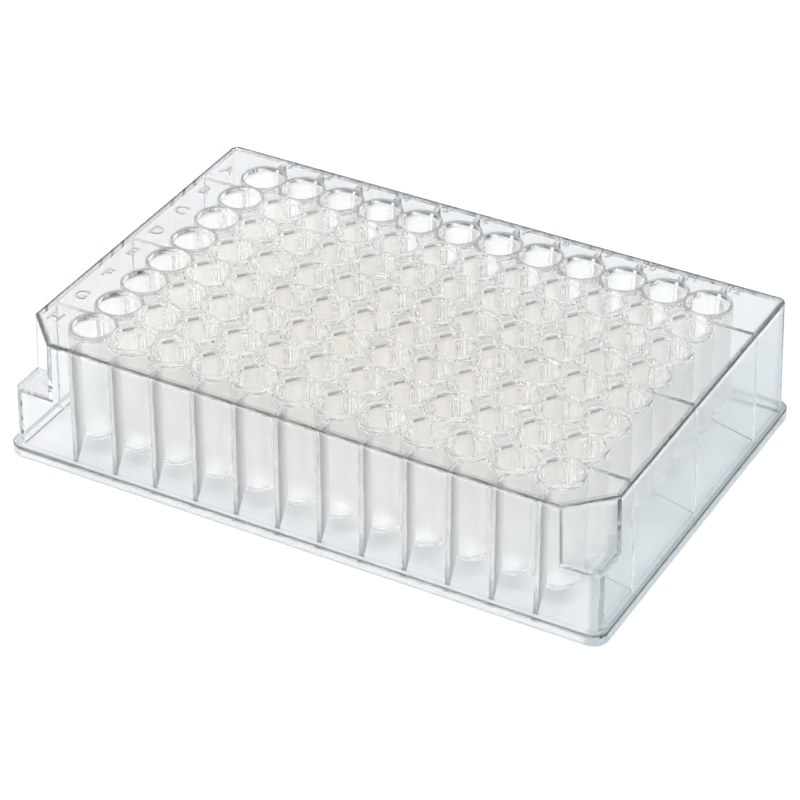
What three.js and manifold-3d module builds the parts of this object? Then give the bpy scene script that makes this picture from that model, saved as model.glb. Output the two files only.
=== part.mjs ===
// A 96-well plate, moulded in one piece from clear plastic. It is a box with no bottom: four
// thin walls stand on a wider base, a deck closes the top, and 8 rows of 12 round wells hang
// from the deck, with rounded ends that stop just above the bench.
//
// Units are millimetres. X runs along a row of wells, Y from the front of the plate to its back,
// and Z upwards. The origin is on the bench, under the middle of the plate.

import * as THREE from 'three';
import { mergeVertices } from 'three/addons/utils/BufferGeometryUtils.js';
import Module from 'manifold-3d';

const wasm = await Module();
wasm.setup();

// ---------------------------------------------------------------- driving dimensions

// Wells
const COLUMNS = 12;
const ROWS = 8;
const PITCH = 9; // from one well's centre to the next, along X and along Y
const PARTITION = 0.7; // plastic left between two wells where they are closest
const WELL_WALL = 0.8;
const WELL_CLEARANCE = 2.3; // from the bench up to the wells' ends
const WELL_SIDES = 8; // flat sides that stand for a well's round wall
const WELL_END_STEPS = 2; // slopes that stand for the quarter circle of a well's end
const RIM_WIDTH = 0.65; // of the raised ring round a well's mouth
const RIM_HEIGHT = 0.5; // above the deck

// Base, which is wider than the walls
const END_MARGIN = 14.38; // from the outer columns' centres to the base's ends
const SIDE_MARGIN = 11.24; // from the outer rows' centres to the base's front and back
const BASE_HEIGHT = 2.25;
const BASE_CORNER = 3.18; // radius
const END_STEP = 1; // how far the base stands out from the end walls
const SIDE_STEP = 1.8; // how far it stands out from the front and back walls

// Walls and deck
const WALL = 1.2;
const WALL_CORNER = 1.5; // radius
const LEAST_INNER_CORNER = 0.3; // radius
const CORNER_STEPS = 4; // flat sides that stand for a rounded corner
const END_LEAN = 0.8; // how much further in an end wall stands at the deck than at the base
const SIDE_LEAN = 0.25; // the same for the front and back walls
const DECK_TOP = 27; // above the bench
const DECK_THICKNESS = 1.2;

// The two front corners are cut off at 45 degrees, from the deck down to a small ledge
const CUT = 8; // along each wall
const CUT_LEDGE = 14.6; // above the bench

// Ribs between the wells and the walls
const RIB = 1; // thickness
const END_RIB_JOINTS = [1, 4, 7]; // each end wall's ribs meet the joints after these rows

// ---------------------------------------------------------------- worked-out dimensions

const LAST_COLUMN = ((COLUMNS - 1) * PITCH) / 2;
const LAST_ROW = ((ROWS - 1) * PITCH) / 2;
const BASE_X = LAST_COLUMN + END_MARGIN; // half of the plate's length
const BASE_Y = LAST_ROW + SIDE_MARGIN; // half of its width

const WELL_RADIUS = (PITCH - PARTITION) / 2;
const TUBE_RADIUS = WELL_RADIUS + WELL_WALL;
const RIM_RADIUS = WELL_RADIUS + RIM_WIDTH;
const RIM_TOP = DECK_TOP + RIM_HEIGHT;
const WELL_END_CENTRE = WELL_CLEARANCE + TUBE_RADIUS; // height of the round ends' centres
const WEB_BOTTOM = WELL_END_CENTRE - Math.sqrt(TUBE_RADIUS ** 2 - (PITCH / 2) ** 2);
const MID_DECK = DECK_TOP - DECK_THICKNESS / 2;
const PAST = 1; // how far a cut runs past the surface that it opens

// A well's sides are set so that they enclose as much as the circle that they stand for.
const SIDE_ANGLE = (2 * Math.PI) / WELL_SIDES;
const CORNER_PER_RADIUS = Math.sqrt(SIDE_ANGLE / Math.sin(SIDE_ANGLE));

// How far in the walls have come at a height, as a share of their whole lean.
function leanAt(z) {
  return (z - BASE_HEIGHT) / (DECK_TOP - BASE_HEIGHT);
}

// The middle of an end wall's thickness, and of the front or back wall's, at a height.
function endWallMiddle(z) {
  return BASE_X - END_STEP - END_LEAN * leanAt(z) - WALL / 2;
}

function sideWallMiddle(z) {
  return BASE_Y - SIDE_STEP - SIDE_LEAN * leanAt(z) - WALL / 2;
}

// ---------------------------------------------------------------- solids

// Turns a closed geometry into a solid that can be joined and cut.
function toSolid(geometry) {
  geometry.deleteAttribute('normal');
  geometry.deleteAttribute('uv');
  const merged = mergeVertices(geometry);
  const corners = merged.index.array;
  const triVerts = [];
  for (let i = 0; i < corners.length; i += 3) {
    const [a, b, c] = corners.slice(i, i + 3);
    if (a !== b && b !== c && c !== a) {
      triVerts.push(a, b, c);
    }
  }
  const mesh = new wasm.Mesh({
    numProp: 3,
    vertProperties: merged.attributes.position.array,
    triVerts: Uint32Array.from(triVerts),
  });
  return new wasm.Manifold(mesh);
}

function toGeometry(solid) {
  const mesh = solid.getMesh();
  const geometry = new THREE.BufferGeometry();
  geometry.setAttribute('position', new THREE.BufferAttribute(mesh.vertProperties, mesh.numProp));
  geometry.setIndex(new THREE.BufferAttribute(mesh.triVerts, 1));
  geometry.computeVertexNormals();
  return geometry;
}

function join(solids) {
  return solids.reduce((joined, solid) => joined.add(solid));
}

// ---------------------------------------------------------------- walls, deck and base

// A rectangle with rounded corners. Where cut is above 0, its two front corners are cut off
// at 45 degrees instead.
function outline(halfX, halfY, corner, cut) {
  const shape = new THREE.Shape();
  if (cut > 0) {
    shape.moveTo(-halfX, cut - halfY);
    shape.lineTo(cut - halfX, -halfY);
    shape.lineTo(halfX - cut, -halfY);
    shape.lineTo(halfX, cut - halfY);
  } else {
    shape.absarc(corner - halfX, corner - halfY, corner, Math.PI, 1.5 * Math.PI);
    shape.absarc(halfX - corner, corner - halfY, corner, 1.5 * Math.PI, 2 * Math.PI);
  }
  shape.absarc(halfX - corner, halfY - corner, corner, 0, 0.5 * Math.PI);
  shape.absarc(corner - halfX, halfY - corner, corner, 0.5 * Math.PI, Math.PI);
  return shape;
}

function upright(shape, bottom, top) {
  const settings = { depth: top - bottom, bevelEnabled: false, curveSegments: CORNER_STEPS };
  return new THREE.ExtrudeGeometry(shape, settings).translate(0, 0, bottom);
}

// The radius of a corner's inner face.
function innerCorner(corner) {
  return Math.max(corner - WALL, LEAST_INNER_CORNER);
}

// A block of the base: inset is how far its sides lie inside the base's outline.
function baseBlock(inset, corner, bottom, top) {
  return toSolid(upright(outline(BASE_X - inset, BASE_Y - inset, corner, 0), bottom, top));
}

// A block whose sides lean as the walls do: inset is how far they lie inside the walls' outline.
function wallBlock(inset, corner, cut, bottom, top) {
  const shape = outline(BASE_X - END_STEP - inset, BASE_Y - SIDE_STEP - inset, corner, cut);
  const geometry = upright(shape, bottom, top);
  const points = geometry.attributes.position;
  for (let i = 0; i < points.count; i += 1) {
    const lean = leanAt(points.getZ(i));
    points.setX(i, points.getX(i) - Math.sign(points.getX(i)) * END_LEAN * lean);
    points.setY(i, points.getY(i) - Math.sign(points.getY(i)) * SIDE_LEAN * lean);
  }
  return toSolid(geometry);
}

// The box with no bottom. Its lower part has square front corners and its upper part cut ones.
function makeBox() {
  const wallFoot = BASE_HEIGHT - WALL / 2;
  const innerCut = CUT - WALL * (2 - Math.SQRT2);
  const outside = join([
    baseBlock(0, BASE_CORNER, 0, BASE_HEIGHT),
    wallBlock(0, WALL_CORNER, 0, wallFoot, CUT_LEDGE),
    wallBlock(0, WALL_CORNER, CUT, wallFoot, DECK_TOP),
  ]);
  const inside = join([
    baseBlock(WALL, innerCorner(BASE_CORNER), -PAST, BASE_HEIGHT - WALL),
    wallBlock(WALL, innerCorner(WALL_CORNER), 0, -PAST, CUT_LEDGE - WALL),
    wallBlock(WALL, innerCorner(WALL_CORNER), innerCut, -PAST, DECK_TOP - DECK_THICKNESS),
  ]);
  return outside.subtract(inside);
}

// ---------------------------------------------------------------- wells

// A round column along Z, from an end at the bottom up to a flat top. The end is a half ball,
// or flat where steps is 0.
function column(radius, bottom, top, steps) {
  const reach = radius * CORNER_PER_RADIUS;
  const profile = [new THREE.Vector2(0, bottom)];
  for (let i = 1; i <= steps; i += 1) {
    const angle = (i / steps) * (Math.PI / 2);
    profile.push(new THREE.Vector2(reach * Math.sin(angle), bottom + radius * (1 - Math.cos(angle))));
  }
  if (steps === 0) {
    profile.push(new THREE.Vector2(reach, bottom));
  }
  profile.push(new THREE.Vector2(reach, top), new THREE.Vector2(0, top));
  return new THREE.LatheGeometry(profile, WELL_SIDES, Math.PI / WELL_SIDES).rotateX(Math.PI / 2);
}

// A copy of one geometry at every well.
function atEachWell(geometry) {
  const solids = [];
  for (let row = 0; row < ROWS; row += 1) {
    for (let col = 0; col < COLUMNS; col += 1) {
      const copy = geometry.clone().translate(col * PITCH - LAST_COLUMN, LAST_ROW - row * PITCH, 0);
      solids.push(toSolid(copy));
    }
  }
  return join(solids);
}

function makeTubes() {
  return atEachWell(column(TUBE_RADIUS, WELL_CLEARANCE, MID_DECK, WELL_END_STEPS));
}

// The rims are made too tall and then cut level, all at once.
function makeRims() {
  const rims = atEachWell(column(RIM_RADIUS, MID_DECK, RIM_TOP + PAST, 0));
  const above = new THREE.BoxGeometry(2 * BASE_X, 2 * BASE_Y, 2 * PAST).translate(0, 0, RIM_TOP + PAST);
  return rims.subtract(toSolid(above));
}

function makeHollows() {
  return atEachWell(column(WELL_RADIUS, WELL_CLEARANCE + WELL_WALL, RIM_TOP + PAST, WELL_END_STEPS));
}

// ---------------------------------------------------------------- ribs

// A rib that stands in the XZ plane. Its side view is given by points, each [x, z].
function ribAlongX(points) {
  const shape = new THREE.Shape(points.map(([x, z]) => new THREE.Vector2(x, z)));
  const settings = { depth: RIB, bevelEnabled: false };
  return new THREE.ExtrudeGeometry(shape, settings).rotateX(Math.PI / 2).translate(0, RIB / 2, 0);
}

// One rib from each outer well to the front or back wall. It ends in a slope, from the foot of
// the well's straight wall to the top of the base.
function makeSideRibs() {
  const wellSide = LAST_ROW + TUBE_RADIUS - WELL_WALL / 2;
  const rib = ribAlongX([
    [wellSide, WELL_END_CENTRE],
    [sideWallMiddle(BASE_HEIGHT), BASE_HEIGHT],
    [sideWallMiddle(MID_DECK), MID_DECK],
    [wellSide, MID_DECK],
  ]);
  const solids = [];
  for (const turn of [-Math.PI / 2, Math.PI / 2]) {
    for (let col = 0; col < COLUMNS; col += 1) {
      solids.push(toSolid(rib.clone().rotateZ(turn).translate(col * PITCH - LAST_COLUMN, 0, 0)));
    }
  }
  return join(solids);
}

// Ribs from the joints between rows to the end walls. Each slopes from the foot of the joint
// down to the top of the base.
function makeEndRibs() {
  const rib = ribAlongX([
    [LAST_COLUMN, WEB_BOTTOM],
    [endWallMiddle(BASE_HEIGHT), BASE_HEIGHT],
    [endWallMiddle(MID_DECK), MID_DECK],
    [LAST_COLUMN, MID_DECK],
  ]);
  const solids = [];
  for (const turn of [0, Math.PI]) {
    for (const joint of END_RIB_JOINTS) {
      solids.push(toSolid(rib.clone().rotateZ(turn).translate(0, (ROWS / 2 - joint) * PITCH, 0)));
    }
  }
  return join(solids);
}

// ---------------------------------------------------------------- the plate

function makePlate() {
  const plastic = join([makeBox(), makeTubes(), makeRims(), makeSideRibs(), makeEndRibs()]);
  const material = new THREE.MeshStandardMaterial({
    color: 0xdfe3e8,
    roughness: 0.15,
    metalness: 0,
    transparent: true,
    opacity: 0.6,
    flatShading: true,
  });
  const mesh = new THREE.Mesh(toGeometry(plastic.subtract(makeHollows())), material);
  mesh.name = 'well_plate';
  return mesh;
}

const group = new THREE.Group();
group.add(makePlate());

export default group;
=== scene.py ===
"""Looks of a 96-well plate: one clear moulding with frosted wells, on a white floor.

The plate is modelled in millimetres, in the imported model's frame, and scaled to metres at the
end. X runs along a row of wells, Y from the front of the plate to its back, and Z upwards.

Solids are joined and then cut. Each face carries the number of its finish through that as its
material slot, and the finished mesh keeps the numbers as an attribute, which its one material
reads.
"""

import math

import bmesh
import bpy
from mathutils import Matrix, Vector


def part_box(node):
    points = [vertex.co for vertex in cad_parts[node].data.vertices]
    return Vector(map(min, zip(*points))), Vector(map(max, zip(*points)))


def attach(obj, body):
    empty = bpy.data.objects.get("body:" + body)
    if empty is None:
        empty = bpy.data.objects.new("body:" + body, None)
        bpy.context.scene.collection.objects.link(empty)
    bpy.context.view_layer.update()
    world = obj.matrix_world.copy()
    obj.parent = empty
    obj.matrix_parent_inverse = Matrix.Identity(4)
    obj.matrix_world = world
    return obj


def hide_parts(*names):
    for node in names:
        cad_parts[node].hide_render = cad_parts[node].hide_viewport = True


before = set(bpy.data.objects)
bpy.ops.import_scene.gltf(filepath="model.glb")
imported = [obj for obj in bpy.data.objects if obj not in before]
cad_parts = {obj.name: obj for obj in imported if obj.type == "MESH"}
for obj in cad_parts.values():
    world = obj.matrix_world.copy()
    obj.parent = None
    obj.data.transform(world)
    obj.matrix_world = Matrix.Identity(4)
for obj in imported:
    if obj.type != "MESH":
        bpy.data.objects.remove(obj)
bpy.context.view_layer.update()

MM = 0.001
NODE = "well_plate"

# ---------------------------------------------------------------- sizes, in millimetres

plate_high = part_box(NODE)[1] / MM
BASE_X = plate_high.x  # half of the plate's length
BASE_Y = plate_high.y  # half of its width
RIM_TOP = plate_high.z

# Wells
COLUMNS = 12
ROWS = 8
PITCH = 9
WELL_RADIUS = 4.15
TUBE_RADIUS = 4.95
WELL_CLEARANCE = 2.3  # from the bench up to the wells' ends
END_CENTRE = WELL_CLEARANCE + TUBE_RADIUS  # height of the round ends' centres
RIM_RADIUS = 4.8
RIM_HEIGHT = 0.5
RIM_EDGE = 0.2  # radius of the rims' rounded edges
ROUND_SEGMENTS = 32
END_RINGS = 5
RIM_EDGE_STEPS = 2
LAST_COLUMN = (COLUMNS - 1) * PITCH / 2
LAST_ROW = (ROWS - 1) * PITCH / 2

# Walls, deck and base
BASE_HEIGHT = 2.25
BASE_CORNER = 3.18
BASE_EDGE = 0.22  # radius of the base's rounded upper edge
FOOT_EDGE = 0.2  # radius of its rounded lower edge
END_STEP = 1  # how far the base stands out from the end walls
SIDE_STEP = 1.8  # how far it stands out from the front and back walls
WALL = 1.2
WALL_CORNER = 1.5
LEAST_CORNER = 0.3
END_LEAN = 0.8  # how much further in an end wall stands at the deck than at the base
SIDE_LEAN = 0.25
DECK_TOP = RIM_TOP - RIM_HEIGHT
DECK_THICKNESS = 1.2
DECK_EDGE = 0.3  # radius of the deck's rounded edge
MID_DECK = DECK_TOP - DECK_THICKNESS / 2
DECK_BOTTOM = DECK_TOP - DECK_THICKNESS
CUT = 8  # the two front corners are cut off at 45 degrees, this far along each wall
CUT_CORNER = 0.15  # radius where a cut meets a wall
CUT_LEDGE = 14.6  # height of the ledge below each cut
CORNER_STEPS = 8
BLOCK_EDGE_STEPS = 4

# Ribs
RIB = 1
END_RIB_JOINTS = (1, 4, 7)
RIB_FOOT = 0.6  # height of the side ribs' lower ends, inside the base
WEB_BOTTOM = END_CENTRE - math.sqrt(TUBE_RADIUS**2 - (PITCH / 2) ** 2)

PAST = 1  # how far a cut runs past the surface that it opens
SHARP = math.radians(35)  # edges that bend more than this are drawn sharp
WELD = 1e-4  # points nearer than this are one
BRIGHT_LIP = 0.45  # depth of the bright ring inside each well's mouth, below the deck's top
HIGHLIGHT_CAP_TOP = END_CENTRE - 3.2  # the wells' ends are white up to this height: a painted highlight


def lean_at(z):
    """How far in the walls have come at a height, as a share of their whole lean."""
    return (z - BASE_HEIGHT) / (DECK_TOP - BASE_HEIGHT)


def end_wall_middle(z):
    return BASE_X - END_STEP - END_LEAN * lean_at(z) - WALL / 2


def side_wall_middle(z):
    return BASE_Y - SIDE_STEP - SIDE_LEAN * lean_at(z) - WALL / 2


def well_centres():
    for row in range(ROWS):
        for column in range(COLUMNS):
            yield row, column, column * PITCH - LAST_COLUMN, LAST_ROW - row * PITCH


# ---------------------------------------------------------------- meshes

FINISHES = 8
# The edge finish paints dark reflections, the side ribs' finish paints shade and the wells' end
# finish paints a highlight
CLEAR, BRIGHT, FROSTED, MATT, DARK_EDGE_REFLECTION, RIM, PAINTED_SHADE_RIB, HIGHLIGHT_CAP = range(FINISHES)


def make_object(name, points, faces, finishes=None):
    """A mesh object. finishes gives each face's finish; without it all are clear."""
    mesh = bpy.data.meshes.new(name)
    mesh.from_pydata(points, [], faces)
    return place_mesh(name, mesh, finishes)


def place_mesh(name, mesh, finishes=None):
    """Puts a mesh in the scene, with its faces' finishes as material slots."""
    for _ in range(FINISHES):
        mesh.materials.append(None)
    if finishes:
        mesh.polygons.foreach_set("material_index", finishes)
    piece = bpy.data.objects.new(name, mesh)
    bpy.context.scene.collection.objects.link(piece)
    return piece


def rounded(corners):
    """Points round a convex outline, anticlockwise. Each corner is (x, y, radius)."""
    points = []
    for i, (x, y, radius) in enumerate(corners):
        here = Vector((x, y))
        before = (Vector(corners[i - 1][:2]) - here).normalized()
        after = (Vector(corners[(i + 1) % len(corners)][:2]) - here).normalized()
        half = before.angle(after) / 2
        centre = here + (before + after).normalized() * (radius / math.sin(half))
        first = here + before * (radius / math.tan(half)) - centre
        turn = math.pi - 2 * half
        for step in range(CORNER_STEPS + 1):
            arm = Matrix.Rotation(turn * step / CORNER_STEPS, 2) @ first
            points.append(centre + arm)
    return points


def outline(half_x, half_y, radius, cut=0.0, inset=0.0):
    """A rectangle with rounded corners. A cut over 0 takes its front corners off at 45 degrees."""
    half_x -= inset
    half_y -= inset
    radius = max(radius - inset, LEAST_CORNER)
    corners = [(half_x, half_y, radius), (-half_x, half_y, radius)]
    if cut:
        cut -= inset * (2 - math.sqrt(2))
        small = CUT_CORNER
        corners += [(-half_x, cut - half_y, small), (cut - half_x, -half_y, small)]
        corners += [(half_x - cut, -half_y, small), (half_x, cut - half_y, small)]
    else:
        corners += [(-half_x, -half_y, radius), (half_x, -half_y, radius)]
    return rounded(corners)


def on_cut_corner(i):
    """Whether the side of an outline that starts at point i is round a corner of a cut."""
    corner, step = divmod(i, CORNER_STEPS + 1)
    return corner > 1 and step != CORNER_STEPS


def loft(name, rings, main_level, edge_at):
    """A closed solid through rings of as many points each, from the lowest ring up.

    The sides from ring main_level to the next are clear, apart from those that edge_at picks,
    and the sides above them are rounded edges. The picked sides and the rounded edges take the
    dark edge finish, a painted reflection.
    """
    size = len(rings[0])
    points = [point for ring in rings for point in ring]
    faces = [list(reversed(range(size)))]
    finishes = [CLEAR]
    for level in range(len(rings) - 1):
        base = level * size
        for i in range(size):
            j = (i + 1) % size
            faces.append((base + i, base + j, base + size + j, base + size + i))
            if level > main_level:
                finishes.append(DARK_EDGE_REFLECTION)
            elif level < main_level:
                finishes.append(CLEAR)
            else:
                finishes.append(DARK_EDGE_REFLECTION if edge_at(i) else CLEAR)
    faces.append([(len(rings) - 1) * size + i for i in range(size)])
    finishes.append(CLEAR)
    return make_object(name, points, faces, finishes)


def edge_levels(edge, steps=BLOCK_EDGE_STEPS):
    """(inset, drop) pairs round a quarter circle, from the side of a block to its top."""
    if edge == 0:
        yield 0, 0
        return
    for step in range(steps + 1):
        angle = math.pi / 2 * step / steps
        yield edge * (1 - math.cos(angle)), edge * (1 - math.sin(angle))


def side_levels(bottom, top, foot, edge):
    """(inset, z) from a block's bottom to its top, and which level is the straight side."""
    levels = [(inset, bottom + drop) for inset, drop in reversed(list(edge_levels(foot)))]
    straight = len(levels) - 1
    levels += [(inset, top - drop) for inset, drop in edge_levels(edge)]
    return levels, straight


def base_block(name, inset, bottom, top, foot=0.0, edge=0.0):
    """A block with the base's outline."""
    levels, straight = side_levels(bottom, top, foot, edge)
    rings = []
    for more, z in levels:
        ring = outline(BASE_X, BASE_Y, BASE_CORNER, inset=inset + more)
        rings.append([(p.x, p.y, z) for p in ring])
    return loft(name, rings, straight, lambda i: False)


def leaned(point, z):
    """A point of the walls' outline, moved inwards as the walls' lean asks at height z."""
    lean = lean_at(z)
    x = point.x - math.copysign(END_LEAN * lean, point.x)
    y = point.y - math.copysign(SIDE_LEAN * lean, point.y)
    return x, y, z


def wall_block(name, inset, cut, bottom, top, edge=0.0):
    """A block whose sides lean as the walls do."""
    levels, straight = side_levels(bottom, top, 0, edge)
    rings = []
    for more, z in levels:
        ring = outline(BASE_X - END_STEP, BASE_Y - SIDE_STEP, WALL_CORNER, cut, inset + more)
        rings.append([leaned(p, z) for p in ring])
    return loft(name, rings, straight, on_cut_corner if cut else lambda i: False)


def lathes(name, profile, centres, finish_at):
    """A turned solid at each centre.

    The profile's (radius, z) points run from the axis at the bottom to the axis at the top, and
    finish_at gives the finish of the side that leads up to one of them.
    """
    points = []
    faces = []
    finishes = []
    middle = profile[1:-1]
    for x, y in centres:
        start = len(points)
        points.append((x, y, profile[0][1]))
        for radius, z in middle:
            for i in range(ROUND_SEGMENTS):
                angle = 2 * math.pi * i / ROUND_SEGMENTS
                points.append((x + radius * math.cos(angle), y + radius * math.sin(angle), z))
        points.append((x, y, profile[-1][1]))
        end = len(points) - 1
        for i in range(ROUND_SEGMENTS):
            j = (i + 1) % ROUND_SEGMENTS
            faces.append((start, start + 1 + j, start + 1 + i))
            finishes.append(finish_at(*middle[0]))
            for level in range(len(middle) - 1):
                low = start + 1 + level * ROUND_SEGMENTS
                high = low + ROUND_SEGMENTS
                faces.append((low + i, low + j, high + j, high + i))
                finishes.append(finish_at(*middle[level + 1]))
            last = start + 1 + (len(middle) - 1) * ROUND_SEGMENTS
            faces.append((last + i, last + j, end))
            finishes.append(finish_at(*profile[-1]))
    return make_object(name, points, faces, finishes)


def tube_finish(radius, z):
    """The outside of a well: a white end that is a painted highlight, frosted sides and a rim."""
    if z < HIGHLIGHT_CAP_TOP:
        return HIGHLIGHT_CAP
    if z > DECK_TOP:
        return RIM
    return FROSTED if radius == TUBE_RADIUS else BRIGHT


def hollow_finish(radius, z):
    """The inside of a well: a white end that is a painted highlight, bright sides, a matt ring in
    the deck and a bright lip.
    """
    if z > RIM_TOP - RIM_EDGE + WELD:
        return RIM
    if z < HIGHLIGHT_CAP_TOP:
        return HIGHLIGHT_CAP
    return MATT if DECK_BOTTOM < z < DECK_TOP else BRIGHT


def quarter(radius, centre_z, steps):
    """Profile of a half ball's underside, from its pole out to its full radius."""
    angles = [math.pi / 2 * i / steps for i in range(steps + 1)]
    return [(radius * math.sin(angle), centre_z - radius * math.cos(angle)) for angle in angles]


def boxes(name, corner_sets, finish, low_finish):
    """Six-sided solids. Each has four corners round one side, then the four opposite them.

    low_finish is the finish of the face that joins the first two corners to their opposites.
    """
    points = []
    faces = []
    for corners in corner_sets:
        start = len(points)
        points += corners
        faces.append([start + i for i in range(4)])
        faces.append([start + 4 + i for i in reversed(range(4))])
        for i in range(4):
            j = (i + 1) % 4
            faces.append((start + j, start + i, start + 4 + i, start + 4 + j))
    finishes = [finish, finish, low_finish, finish, finish, finish] * len(corner_sets)
    piece = make_object(name, points, faces, finishes)
    fix_normals(piece)
    return piece


def slab(corners, normal):
    """The corners of a flat rib whose middle plane has the given four."""
    return [Vector(corner) + normal * (side * RIB / 2) for side in (-1, 1) for corner in corners]


def fix_normals(piece):
    bm = bmesh.new()
    bm.from_mesh(piece.data)
    bmesh.ops.recalc_face_normals(bm, faces=bm.faces)
    bm.to_mesh(piece.data)
    bm.free()


def combine(body, operation, *tools):
    """Joins or cuts body with each tool in turn, and removes the tools."""
    for tool in tools:
        step = body.modifiers.new("step", "BOOLEAN")
        step.solver = "MANIFOLD"
        step.operation = operation
        step.object = tool
    graph = bpy.context.evaluated_depsgraph_get()
    result = bpy.data.meshes.new_from_object(body.evaluated_get(graph), depsgraph=graph)
    body.modifiers.clear()
    old = body.data
    body.data = result
    bpy.data.meshes.remove(old)
    for tool in tools:
        mesh = tool.data
        bpy.data.objects.remove(tool)
        bpy.data.meshes.remove(mesh)
    return body


# ---------------------------------------------------------------- the plate


def make_shell():
    """The walls, the deck and the base, hollow and open underneath."""
    lap = BASE_HEIGHT - WALL / 2
    outside = combine(
        wall_block("shell", 0, 0, lap, CUT_LEDGE),
        "UNION",
        wall_block("upper", 0, CUT, CUT_LEDGE, DECK_TOP, DECK_EDGE),
        base_block("base", 0, 0, BASE_HEIGHT, FOOT_EDGE, BASE_EDGE),
    )
    step = CUT_LEDGE - WALL
    inside = combine(
        wall_block("room", WALL, 0, -PAST, step),
        "UNION",
        wall_block("upper_room", WALL, CUT, step, DECK_BOTTOM),
        base_block("base_room", WALL, -PAST, BASE_HEIGHT - WALL),
    )
    return combine(outside, "DIFFERENCE", inside)


def make_tubes():
    """The wells' outsides and rims, in four sets of tubes that don't touch each other."""
    profile = quarter(TUBE_RADIUS, END_CENTRE, END_RINGS)
    profile += [(TUBE_RADIUS, MID_DECK), (RIM_RADIUS, MID_DECK)]
    for inset, drop in edge_levels(RIM_EDGE, RIM_EDGE_STEPS):
        profile.append((RIM_RADIUS - inset, RIM_TOP - drop))
    profile.append((0, RIM_TOP))
    sets = []
    for odd in ((0, 0), (0, 1), (1, 0), (1, 1)):
        centres = [(x, y) for row, column, x, y in well_centres() if (row % 2, column % 2) == odd]
        sets.append(lathes("tubes", profile, centres, tube_finish))
    return sets


def make_hollows():
    """What is cut away inside the wells. Their mouths open into the rims' rounded edges."""
    edge = edge_levels(RIM_EDGE, RIM_EDGE_STEPS)
    mouth = [(WELL_RADIUS + inset, RIM_TOP - drop) for inset, drop in edge]
    profile = quarter(WELL_RADIUS, END_CENTRE, END_RINGS)
    profile += [(WELL_RADIUS, DECK_BOTTOM), (WELL_RADIUS, DECK_TOP - BRIGHT_LIP), *mouth]
    profile += [(mouth[-1][0], RIM_TOP + PAST), (0, RIM_TOP + PAST)]
    centres = [(x, y) for _, _, x, y in well_centres()]
    return lathes("hollows", profile, centres, hollow_finish)


def make_side_ribs():
    """Ribs from the front and back rows of wells to their walls."""
    well_side = LAST_ROW + TUBE_RADIUS - (TUBE_RADIUS - WELL_RADIUS) / 2
    slabs = []
    for column in range(COLUMNS):
        x = column * PITCH - LAST_COLUMN
        for side in (-1, 1):
            corners = [
                (x, side * well_side, END_CENTRE),
                (x, side * side_wall_middle(BASE_HEIGHT), RIB_FOOT),
                (x, side * side_wall_middle(MID_DECK), MID_DECK),
                (x, side * well_side, MID_DECK),
            ]
            slabs.append(slab(corners, Vector((1, 0, 0))))
    # The side ribs take painted shade, darkest where they meet the wall
    return boxes("side_ribs", slabs, PAINTED_SHADE_RIB, PAINTED_SHADE_RIB)


def make_end_ribs():
    """Ribs from the joints between the end columns' wells to the end walls."""
    slabs = []
    for joint in END_RIB_JOINTS:
        y = (ROWS / 2 - joint) * PITCH
        for side in (-1, 1):
            corners = [
                (side * LAST_COLUMN, y, WEB_BOTTOM),
                (side * end_wall_middle(BASE_HEIGHT), y, BASE_HEIGHT),
                (side * end_wall_middle(MID_DECK), y, MID_DECK),
                (side * LAST_COLUMN, y, MID_DECK),
            ]
            slabs.append(slab(corners, Vector((0, 1, 0))))
    # Their lower edges take the dark edge finish, a painted reflection
    return boxes("end_ribs", slabs, BRIGHT, DARK_EDGE_REFLECTION)


# Lettering: plain row letters and column numbers
ROW_LETTERS = "ABCDEFGH"
LETTER_HEIGHT = 3
LETTER_OUT = 3.4  # from the first column's wells out to the letters' middles
LETTER_DOWN = 0.6  # from a row's middle towards the front of the plate
NUMBER_HEIGHT = 2.2
NUMBER_OUT = 1.9  # from row A's wells out to the numbers' middles
NUMBER_ALONG = 2.4  # from a column's middle towards the right
LETTER_RAISED = 0.2
CAPITAL_SHARE = 0.72  # height of a capital letter as a share of the font's size
LETTER_CURVE_STEPS = 4


def make_label(text, x, y, height):
    """The mesh of one word, which stands LETTER_RAISED over the deck and is sunk into it."""
    curve = bpy.data.curves.new("label", "FONT")
    curve.body = text
    curve.size = height / CAPITAL_SHARE
    curve.extrude = 2 * LETTER_RAISED
    curve.align_x = "CENTER"
    curve.align_y = "CENTER"
    curve.resolution_u = LETTER_CURVE_STEPS
    label = bpy.data.objects.new("label", curve)
    bpy.context.scene.collection.objects.link(label)
    graph = bpy.context.evaluated_depsgraph_get()
    mesh = bpy.data.meshes.new_from_object(label.evaluated_get(graph), depsgraph=graph)
    bpy.data.objects.remove(label)
    bpy.data.curves.remove(curve)
    mesh.transform(Matrix.Translation((x, y, DECK_TOP - LETTER_RAISED)))
    return mesh


def make_labels():
    letter_x = -LAST_COLUMN - TUBE_RADIUS - LETTER_OUT
    number_y = LAST_ROW + TUBE_RADIUS + NUMBER_OUT
    bm = bmesh.new()
    for row, letter in enumerate(ROW_LETTERS):
        y = LAST_ROW - row * PITCH - LETTER_DOWN
        bm.from_mesh(make_label(letter, letter_x, y, LETTER_HEIGHT))
    for column in range(COLUMNS):
        x = column * PITCH - LAST_COLUMN + NUMBER_ALONG
        bm.from_mesh(make_label(str(column + 1), x, number_y, NUMBER_HEIGHT))
    bmesh.ops.remove_doubles(bm, verts=bm.verts, dist=WELD)
    bmesh.ops.recalc_face_normals(bm, faces=bm.faces)
    mesh = bpy.data.meshes.new("labels")
    bm.to_mesh(mesh)
    bm.free()
    # The labels take the rim finish, which is painted darker on the outer side
    return place_mesh("labels", mesh, [RIM] * len(mesh.polygons))


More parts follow.
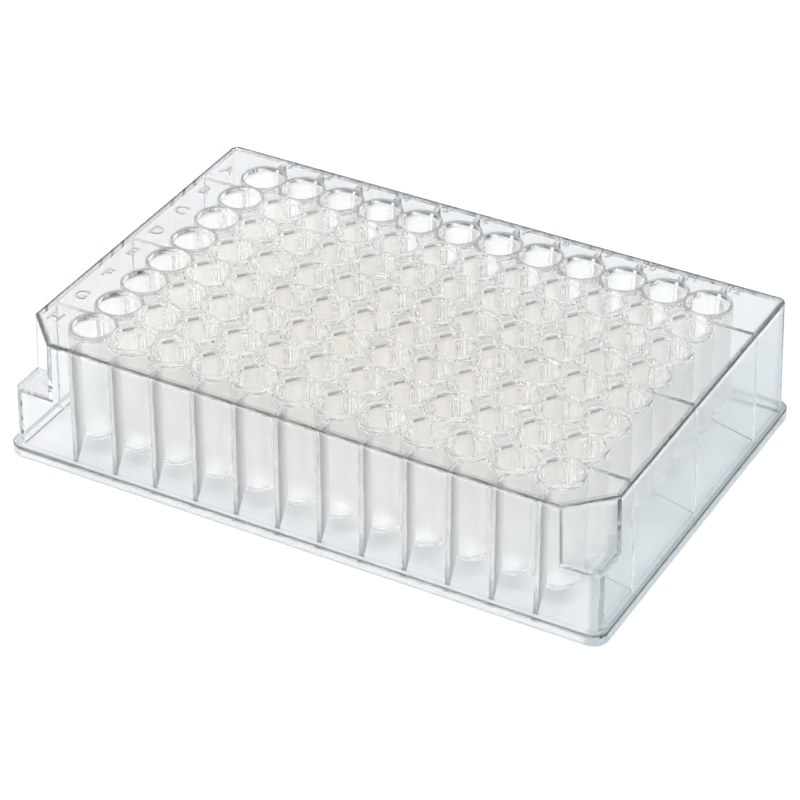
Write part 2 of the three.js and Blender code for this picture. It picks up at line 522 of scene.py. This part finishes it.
def finish_mesh(piece):
    """Smooths the mesh apart from its sharp edges, and scales it to metres."""
    bm = bmesh.new()
    bm.from_mesh(piece.data)
    bmesh.ops.remove_doubles(bm, verts=bm.verts, dist=WELD)
    for face in bm.faces:
        face.smooth = True
    for edge in bm.edges:
        edge.smooth = len(edge.link_faces) == 2 and edge.calc_face_angle(0) < SHARP
    bmesh.ops.scale(bm, vec=(MM, MM, MM), verts=bm.verts)
    bm.to_mesh(piece.data)
    bm.free()
    weighted = piece.modifiers.new("normals", "WEIGHTED_NORMAL")
    weighted.keep_sharp = True
    graph = bpy.context.evaluated_depsgraph_get()
    result = bpy.data.meshes.new_from_object(piece.evaluated_get(graph), depsgraph=graph)
    piece.modifiers.clear()
    piece.data = result


def store_finishes(mesh):
    """Turns the slots that the faces carry into a value that the one material reads."""
    slots = [0] * len(mesh.polygons)
    mesh.polygons.foreach_get("material_index", slots)
    values = mesh.attributes.new("finish", "FLOAT", "FACE")
    values.data.foreach_set("value", slots)
    mesh.polygons.foreach_set("material_index", [0] * len(slots))
    mesh.materials.clear()
    mesh.materials.append(plate_plastic())


def make_plate():
    plate = make_shell()
    combine(plate, "UNION", *make_tubes(), make_side_ribs(), make_end_ribs(), make_labels())
    combine(plate, "DIFFERENCE", make_hollows())
    finish_mesh(plate)
    store_finishes(plate.data)
    plate.name = "clear_plate"
    plate.data.name = "clear_plate"
    return plate


# ---------------------------------------------------------------- shader nodes


def new_material(name):
    material = bpy.data.materials.new(name)
    material.use_nodes = True
    tree = material.node_tree
    tree.nodes.clear()
    output = tree.nodes.new("ShaderNodeOutputMaterial")
    shader = tree.nodes.new("ShaderNodeBsdfPrincipled")
    tree.links.new(shader.outputs[0], output.inputs[0])
    return material, tree, shader


def set_input(tree, socket, value):
    """Links a socket to a node's output, or gives it a colour or a number."""
    if isinstance(value, bpy.types.NodeSocket):
        tree.links.new(value, socket)
    elif isinstance(value, tuple):
        socket.default_value = (*value, 1)
    else:
        socket.default_value = value


def calculate(tree, operation, first, second):
    node = tree.nodes.new("ShaderNodeMath")
    node.operation = operation
    set_input(tree, node.inputs[0], first)
    set_input(tree, node.inputs[1], second)
    return node.outputs[0]


def distance(tree, value):
    """How far a value is from 0."""
    return calculate(tree, "ABSOLUTE", value, 0)


def blend(tree, value, first, second, kind="RGBA"):
    """first where value is 0 and second where it is 1. kind is the socket type of both."""
    mix = tree.nodes.new("ShaderNodeMix")
    mix.data_type = "RGBA" if kind == "RGBA" else "FLOAT"
    set_input(tree, mix.inputs["Factor"], value)
    ends = [socket for socket in mix.inputs if socket.type == kind and socket.name in "AB"]
    set_input(tree, ends[0], first)
    set_input(tree, ends[1], second)
    return next(socket for socket in mix.outputs if socket.type == kind)


def spread(tree, value, start, end, low=0.0, high=1.0, curve="LINEAR"):
    """Goes from low where value is start to high where it is end."""
    node = tree.nodes.new("ShaderNodeMapRange")
    node.interpolation_type = curve
    node.inputs["From Min"].default_value = start
    node.inputs["From Max"].default_value = end
    node.inputs["To Min"].default_value = low
    node.inputs["To Max"].default_value = high
    set_input(tree, node.inputs["Value"], value)
    return node.outputs["Result"]


def step_up(tree, value, start, end):
    """Goes smoothly from 0 where value is start to 1 where it is end."""
    return spread(tree, value, start, end, curve="SMOOTHSTEP")


def noise(tree, size, detail=2.0):
    """Noise whose spots are about size millimetres across, in the plate's own frame."""
    place = tree.nodes.new("ShaderNodeTexCoord")
    texture = tree.nodes.new("ShaderNodeTexNoise")
    texture.inputs["Scale"].default_value = 1 / (size * MM)
    texture.inputs["Detail"].default_value = detail
    tree.links.new(place.outputs["Object"], texture.inputs["Vector"])
    return texture.outputs["Fac"]


NOISE_RANGE = (0.3, 0.7)  # nearly all of a noise's values lie between these


def from_noise(tree, value, low, high):
    """Spreads a noise value over low to high."""
    return spread(tree, value, *NOISE_RANGE, low, high)


def bump(tree, shader, height, strength, depth):
    node = tree.nodes.new("ShaderNodeBump")
    node.inputs["Strength"].default_value = strength
    node.inputs["Distance"].default_value = depth * MM
    tree.links.new(height, node.inputs["Height"])
    tree.links.new(node.outputs["Normal"], shader.inputs["Normal"])


def millimetres(tree):
    """A place's x, y and z in the plate's frame, in millimetres."""
    place = tree.nodes.new("ShaderNodeTexCoord")
    split = tree.nodes.new("ShaderNodeSeparateXYZ")
    tree.links.new(place.outputs["Object"], split.inputs[0])
    return [calculate(tree, "DIVIDE", axis, MM) for axis in split.outputs]


FINISH_MARGIN = 0.5  # finishes are whole numbers, so this tells them apart


def has_finish(tree, finish):
    """1 on the faces of one finish, and 0 elsewhere."""
    stored = tree.nodes.new("ShaderNodeAttribute")
    stored.attribute_name = "finish"
    same = tree.nodes.new("ShaderNodeMath")
    same.operation = "COMPARE"
    same.inputs[1].default_value = finish
    same.inputs[2].default_value = FINISH_MARGIN
    tree.links.new(stored.outputs["Fac"], same.inputs[0])
    return same.outputs[0]


# ---------------------------------------------------------------- the plastic

# A tint is two colours, and patches of noise lie between them.
LEFT_PAINTED_LIGHT_TINT = ((0.91, 0.92, 0.928), (0.93, 0.94, 0.948))  # walls and base at the left end, lighter: painted light
SHELL_TINT_AND_SHADE = ((0.884, 0.908, 0.93), (0.909, 0.929, 0.947))  # walls and base elsewhere: the plastic's cool tint, deepened with painted shade
RIGHT_PAINTED_SHADE_TINT = ((0.645, 0.70, 0.73), (0.675, 0.727, 0.757))  # walls and base at the right end, darker: painted shade
DECK_TINT = ((0.95, 0.959, 0.963), (0.97, 0.977, 0.98))
BRIGHT_TINT = ((0.995, 0.995, 0.993), (0.999, 0.999, 0.998))  # the insides of wells
FROST_TINT = ((0.992, 0.98, 0.955), (0.997, 0.988, 0.968))  # the outsides of wells
# Rounded edges and the lower edges of the end ribs, painted dark: a painted reflection of the
# room's dark band
EDGE_PAINTED_REFLECTION_TINT = ((0.06, 0.07, 0.075), (0.10, 0.115, 0.12))
# The dark line along the deck's left and back edges: a painted reflection
LINE_PAINTED_REFLECTION_TINT = ((0.10, 0.11, 0.115), (0.15, 0.16, 0.165))
TOP_PAINTED_SHADE_TINT = ((0.60, 0.62, 0.63), (0.68, 0.70, 0.71))  # deck over the walls, darker: painted shade
RIB_PAINTED_SHADE_TINT = ((0.26, 0.265, 0.26), (0.34, 0.345, 0.34))  # side ribs where they meet the wall, darker: painted shade
RIM_TINT = ((0.96, 0.96, 0.957), (0.98, 0.98, 0.977))
# The rims of row A and column 1, and the labels, darker: painted dark reflections
OUTER_RIM_PAINTED_REFLECTION_TINT = ((0.46, 0.47, 0.47), (0.54, 0.55, 0.55))

TRANSMISSION = 0.991
# The wells' white ends let little light through and show as a painted highlight
HIGHLIGHT_CAP_TRANSMISSION = 0.15
REFRACTION = 1.49
POLISHED = (0.02, 0.06)  # least and most roughness
ROUGHNESS = {
    BRIGHT: (0.12, 0.16),
    RIM: (0.3, 0.4),
    PAINTED_SHADE_RIB: (0.3, 0.4),
    FROSTED: (0.3, 0.4),
    MATT: (0.5, 0.6),
    HIGHLIGHT_CAP: (0.5, 0.6),
}
# Sizes of the noise that varies the tints, the roughness and the surface, in millimetres
PATCHES = 16
SPOTS = 5
RIPPLES = 3
RIPPLE_DETAIL = 3
RIPPLE_STRENGTH = 0.1
RIPPLE_DEPTH = 0.05  # in millimetres

# Where one tint turns into the next: each pair is where that starts and where it ends.
# The left end's painted light and the right end's painted shade fade in over these spans
PAINTED_LIGHT_LEFT_END = (-62, -45)
PAINTED_SHADE_RIGHT_END = (59.8, 60.8)
# The side ribs' painted shade darkens from the first of these outwards to the second
RIB_SHADE = (36.2, 39.8)
DECK_START = (DECK_BOTTOM - 0.5, DECK_BOTTOM - 0.1)
PAINTED_LINE_WIDTH = 0.7  # how far in from the deck's outline the painted dark line reaches
LEAST_BLEND = 0.05  # half the width of a crisp border between tints
OUTER_BLEND = 0.2  # half the width of the border round the inner wells


def past_walls(tree, x, y):
    """How far a place is outside the deck's outline. It is less than 0 inside it."""
    half_x = BASE_X - END_STEP - END_LEAN
    half_y = BASE_Y - SIDE_STEP - SIDE_LEAN
    past_end = calculate(tree, "SUBTRACT", distance(tree, x), half_x)
    past_side = calculate(tree, "SUBTRACT", distance(tree, y), half_y)
    to_corner = calculate(tree, "SUBTRACT", distance(tree, x), y)
    past_cut = calculate(tree, "SUBTRACT", to_corner, half_x + half_y - CUT)
    past_cut = calculate(tree, "DIVIDE", past_cut, math.sqrt(2))
    return calculate(tree, "MAXIMUM", past_end, calculate(tree, "MAXIMUM", past_side, past_cut))


def past_inner_wells(tree, x, y):
    """1 to the left of column 2 or behind row B, and 0 elsewhere."""
    left = calculate(tree, "SUBTRACT", calculate(tree, "MULTIPLY", x, -1), LAST_COLUMN - PITCH / 2)
    behind = calculate(tree, "SUBTRACT", y, LAST_ROW - PITCH / 2)
    outside = calculate(tree, "MAXIMUM", left, behind)
    return step_up(tree, outside, -OUTER_BLEND, OUTER_BLEND)


def plate_colour(tree):
    """The tints of the shell by place, most of which paint in light and shade, and then those of
    each finish, some of which paint in shade, dark reflections and a highlight.
    """
    x, y, z = millimetres(tree)
    patches = noise(tree, PATCHES)

    def tint(pair):
        return blend(tree, patches, *pair)

    past = past_walls(tree, x, y)
    outer = past_inner_wells(tree, x, y)
    on_deck = step_up(tree, z, *DECK_START)
    on_top = step_up(tree, z, DECK_TOP - 2 * LEAST_BLEND, DECK_TOP - LEAST_BLEND)
    past_painted_light_left = step_up(tree, x, *PAINTED_LIGHT_LEFT_END)
    # Painted shade on the deck's top over the walls, away from the left end
    painted_shade_over_wall = step_up(tree, past, -WALL - LEAST_BLEND, LEAST_BLEND - WALL)
    top_past_painted_light_left = calculate(tree, "MULTIPLY", past_painted_light_left, on_top)
    painted_shade_over_wall = calculate(tree, "MULTIPLY", painted_shade_over_wall, top_past_painted_light_left)
    # A painted dark reflection along the deck's left and back edges
    at_painted_line = step_up(tree, past, -PAINTED_LINE_WIDTH - LEAST_BLEND, LEAST_BLEND - PAINTED_LINE_WIDTH)
    at_painted_line = calculate(tree, "MULTIPLY", at_painted_line, calculate(tree, "MULTIPLY", outer, on_top))
    bright = tint(BRIGHT_TINT)
    frost = tint(FROST_TINT)
    # The left end is lighter with painted light, and the right end darker with painted shade
    colour = blend(tree, past_painted_light_left, tint(LEFT_PAINTED_LIGHT_TINT), tint(SHELL_TINT_AND_SHADE))
    colour = blend(tree, step_up(tree, x, *PAINTED_SHADE_RIGHT_END), colour, tint(RIGHT_PAINTED_SHADE_TINT))
    colour = blend(tree, on_deck, colour, tint(DECK_TINT))
    colour = blend(tree, painted_shade_over_wall, colour, tint(TOP_PAINTED_SHADE_TINT))
    colour = blend(tree, at_painted_line, colour, tint(LINE_PAINTED_REFLECTION_TINT))
    # The outer rims and the labels are darker: painted dark reflections
    rim = blend(tree, outer, tint(RIM_TINT), tint(OUTER_RIM_PAINTED_REFLECTION_TINT))
    # The side ribs darken towards the wall: painted shade
    painted_shade_near_wall = step_up(tree, distance(tree, y), *RIB_SHADE)
    rib = blend(tree, painted_shade_near_wall, tint(RIM_TINT), tint(RIB_PAINTED_SHADE_TINT))
    for finish, own in (
        (BRIGHT, bright),
        (FROSTED, frost),
        (MATT, frost),
        (HIGHLIGHT_CAP, bright),
        (DARK_EDGE_REFLECTION, tint(EDGE_PAINTED_REFLECTION_TINT)),
        (RIM, rim),
        (PAINTED_SHADE_RIB, rib),
    ):
        colour = blend(tree, has_finish(tree, finish), colour, own)
    return colour


def plate_plastic():
    """Clear plastic: tinted in the shell with painted light and shade, bright inside the wells,
    frosted outside them and white at their ends as a painted highlight.
    """
    material, tree, shader = new_material("moulded_clear")
    shader.inputs["IOR"].default_value = REFRACTION
    set_input(tree, shader.inputs["Base Color"], plate_colour(tree))
    spots = noise(tree, SPOTS)
    rough = from_noise(tree, spots, *POLISHED)
    for finish, ends in ROUGHNESS.items():
        own = from_noise(tree, spots, *ends)
        rough = blend(tree, has_finish(tree, finish), rough, own, "VALUE")
    set_input(tree, shader.inputs["Roughness"], rough)
    # The white ends, a painted highlight, let little light through
    clearness = blend(tree, has_finish(tree, HIGHLIGHT_CAP), TRANSMISSION, HIGHLIGHT_CAP_TRANSMISSION, "VALUE")
    set_input(tree, shader.inputs["Transmission Weight"], clearness)
    bump(tree, shader, noise(tree, RIPPLES, RIPPLE_DETAIL), RIPPLE_STRENGTH, RIPPLE_DEPTH)
    return material


# ---------------------------------------------------------------- floor, light and camera

FLOOR_SIZE = 12.0  # in metres
FLOOR_COLOUR = 0.65
FLOOR_LIFT = 0.27  # light of the floor's own, for the camera and through the plastic


def seen_rays(tree):
    """1 for rays from the camera and for those that reach it through gloss or glass."""
    path = tree.nodes.new("ShaderNodeLightPath")
    glossy = path.outputs["Is Glossy Ray"]
    clear = path.outputs["Is Transmission Ray"]
    glassy = calculate(tree, "MAXIMUM", glossy, clear)
    return calculate(tree, "MAXIMUM", path.outputs["Is Camera Ray"], glassy)


def make_floor():
    half = FLOOR_SIZE / 2
    corners = [(-half, -half, 0), (half, -half, 0), (half, half, 0), (-half, half, 0)]
    floor = make_object("floor", corners, [(0, 1, 2, 3)])
    material, tree, shader = new_material("floor")
    shader.inputs["Base Color"].default_value = (FLOOR_COLOUR, FLOOR_COLOUR, FLOOR_COLOUR, 1)
    shader.inputs["Roughness"].default_value = 1
    shader.inputs["Specular IOR Level"].default_value = 0
    shader.inputs["Emission Color"].default_value = (1, 1, 1, 1)
    lift = calculate(tree, "MULTIPLY", seen_rays(tree), FLOOR_LIFT)
    set_input(tree, shader.inputs["Emission Strength"], lift)
    floor.data.materials.clear()
    floor.data.materials.append(material)


# The room's level by the upward part of a direction: a dark band, which the plastic's edges show
ROOM_LEVELS = ((0.0, 1.0), (0.35, 1.0), (0.48, 0.26), (0.62, 0.38), (0.75, 1.0))
ROOM_COOLNESS = 0.06  # how blue the darkest part of the band is
CEILING = (0.75, 0.92)  # where the soft bright ceiling starts and where it is full
CEILING_LIGHT = 2.8


def make_world():
    """A white room with a darker band above the horizon and a soft bright ceiling."""
    world = bpy.data.worlds.new("studio")
    bpy.context.scene.world = world
    world.use_nodes = True
    world.cycles.sampling_method = "NONE"
    tree = world.node_tree
    tree.nodes.clear()
    output = tree.nodes.new("ShaderNodeOutputWorld")
    background = tree.nodes.new("ShaderNodeBackground")
    tree.links.new(background.outputs[0], output.inputs[0])
    place = tree.nodes.new("ShaderNodeTexCoord")
    split = tree.nodes.new("ShaderNodeSeparateXYZ")
    tree.links.new(place.outputs["Generated"], split.inputs[0])
    upward = split.outputs["Z"]
    ramp = tree.nodes.new("ShaderNodeValToRGB")
    tree.links.new(upward, ramp.inputs["Fac"])
    stops = ramp.color_ramp
    stops.interpolation = "EASE"
    stops.elements[0].position = ROOM_LEVELS[0][0]
    stops.elements[1].position = ROOM_LEVELS[-1][0]
    for position, _ in ROOM_LEVELS[1:-1]:
        stops.elements.new(position)
    for element, (position, level) in zip(stops.elements, ROOM_LEVELS):
        cool = 1 + ROOM_COOLNESS * (1 - level)
        element.color = (level * (2 - cool), level, min(level * cool, 1), 1)
    ceiling = spread(tree, upward, *CEILING, 1.0, CEILING_LIGHT, "SMOOTHSTEP")
    from_camera = tree.nodes.new("ShaderNodeLightPath").outputs["Is Camera Ray"]
    colour = blend(tree, from_camera, ramp.outputs["Color"], (1.0, 1.0, 1.0))
    strength = blend(tree, from_camera, ceiling, 1.0, "VALUE")
    set_input(tree, background.inputs["Color"], colour)
    set_input(tree, background.inputs["Strength"], strength)


AIM = Vector((1.2, -3.2, 9.9)) * MM  # a little in front of the plate's middle
CAMERA_PLACE = Vector((252.9, -457.07, 363.78)) * MM
CAMERA_ROLL = math.radians(-0.222)
LENS = 146.6
NEAREST = 0.01  # the camera sees from here to FURTHEST, in metres
FURTHEST = 50


def make_camera():
    camera = bpy.data.objects.new("camera", bpy.data.cameras.new("camera"))
    bpy.context.scene.collection.objects.link(camera)
    camera.data.lens = LENS
    camera.data.clip_start = NEAREST
    camera.data.clip_end = FURTHEST
    turn = (AIM - CAMERA_PLACE).to_track_quat("-Z", "Y").to_matrix().to_4x4()
    roll = Matrix.Rotation(CAMERA_ROLL, 4, "Z")
    camera.matrix_world = Matrix.Translation(CAMERA_PLACE) @ turn @ roll
    bpy.context.scene.camera = camera


# How often light may turn inside the plastic: the wells are dark with fewer
BOUNCES = 50
SIDE_BOUNCES = 20  # how many of those turns may be gloss, or off a matt surface


def make_scene():
    make_camera()
    make_floor()
    make_world()
    plate = make_plate()
    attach(plate, "root")
    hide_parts(NODE)
    scene = bpy.context.scene
    scene.view_settings.view_transform = "Standard"
    scene.cycles.blur_glossy = 0
    scene.cycles.max_bounces = BOUNCES
    scene.cycles.transmission_bounces = BOUNCES
    scene.cycles.glossy_bounces = SIDE_BOUNCES
    scene.cycles.diffuse_bounces = SIDE_BOUNCES


make_scene()
